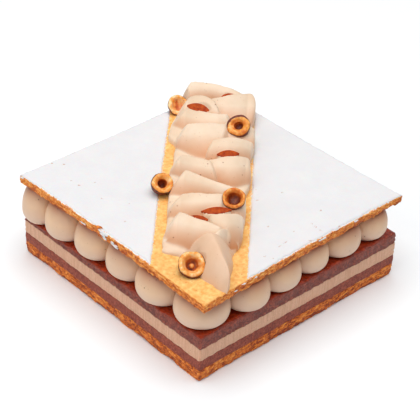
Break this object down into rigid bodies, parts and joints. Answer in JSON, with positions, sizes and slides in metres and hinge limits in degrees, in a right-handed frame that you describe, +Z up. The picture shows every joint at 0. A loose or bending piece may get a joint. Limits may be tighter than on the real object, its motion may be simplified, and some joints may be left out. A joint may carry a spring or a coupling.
{
  "type": "mille feuille",
  "caption": "Square layered puff pastry cake with piped cream balls between its layers and a cream ruffle, caramel and halved nuts on its sugared top.",
  "frame": {"origin": "centre of the square underside of the base crust, on the surface that it stands on", "axes": "+Z up through the layers; the sides of the square run along X and Y; the ruffle runs along the diagonal from the front corner at -X-Y, where its tail is, to the rear corner at +X+Y"},
  "size_m": [0.1671, 0.1682, 0.0766],
  "materials": {
    "base_pastry": "flaky browned puff pastry, rough and matt",
    "top_pastry": "flaky browned puff pastry, rough and matt",
    "lower_chocolate": "crumbly dark chocolate layer, matt",
    "praline_cream": "smooth cut praline cream, matt",
    "upper_chocolate": "dark chocolate layer, matt cut sides and a wet glazed top",
    "piped_cream": "smooth piped cream with fine bubbles, satin",
    "ruffle_cream": "smooth piped cream with fine bubbles, satin",
    "icing_sugar": "fine sifted powder sugar, matt white",
    "caramel": "liquid caramel, wet gloss",
    "hazelnut": "roasted nut flesh with dark skin, satin"
  },
  "bodies": {
    "root": {"base_crust": "base_pastry", "lower_chocolate_layer": "lower_chocolate", "praline_cream_layer": "praline_cream", "upper_chocolate_layer": "upper_chocolate", "cream_ball_01": "piped_cream", "cream_ball_02": "piped_cream", "cream_ball_03": "piped_cream", "cream_ball_04": "piped_cream", "cream_ball_05": "piped_cream", "cream_ball_06": "piped_cream", "cream_ball_07": "piped_cream", "cream_ball_08": "piped_cream", "cream_ball_09": "piped_cream", "cream_ball_10": "piped_cream", "cream_ball_11": "piped_cream", "cream_ball_12": "piped_cream", "cream_ball_13": "piped_cream", "cream_ball_14": "piped_cream", "cream_ball_15": "piped_cream", "cream_ball_16": "piped_cream", "cream_ball_17": "piped_cream", "cream_ball_18": "piped_cream", "cream_ball_19": "piped_cream", "cream_ball_20": "piped_cream", "cream_core": "piped_cream", "top_pastry_sheet": "top_pastry", "cream_ruffle": "ruffle_cream", "icing_sugar_left": "icing_sugar", "icing_sugar_right": "icing_sugar", "caramel_pool_1": "caramel", "caramel_pool_2": "caramel", "caramel_pool_3": "caramel", "caramel_pool_4": "caramel", "caramel_pool_5": "caramel", "hazelnut_half_1": "hazelnut", "hazelnut_half_2": "hazelnut", "hazelnut_half_3": "hazelnut", "hazelnut_half_4": "hazelnut", "hazelnut_half_5": "hazelnut"}
  },
  "joints": []
}
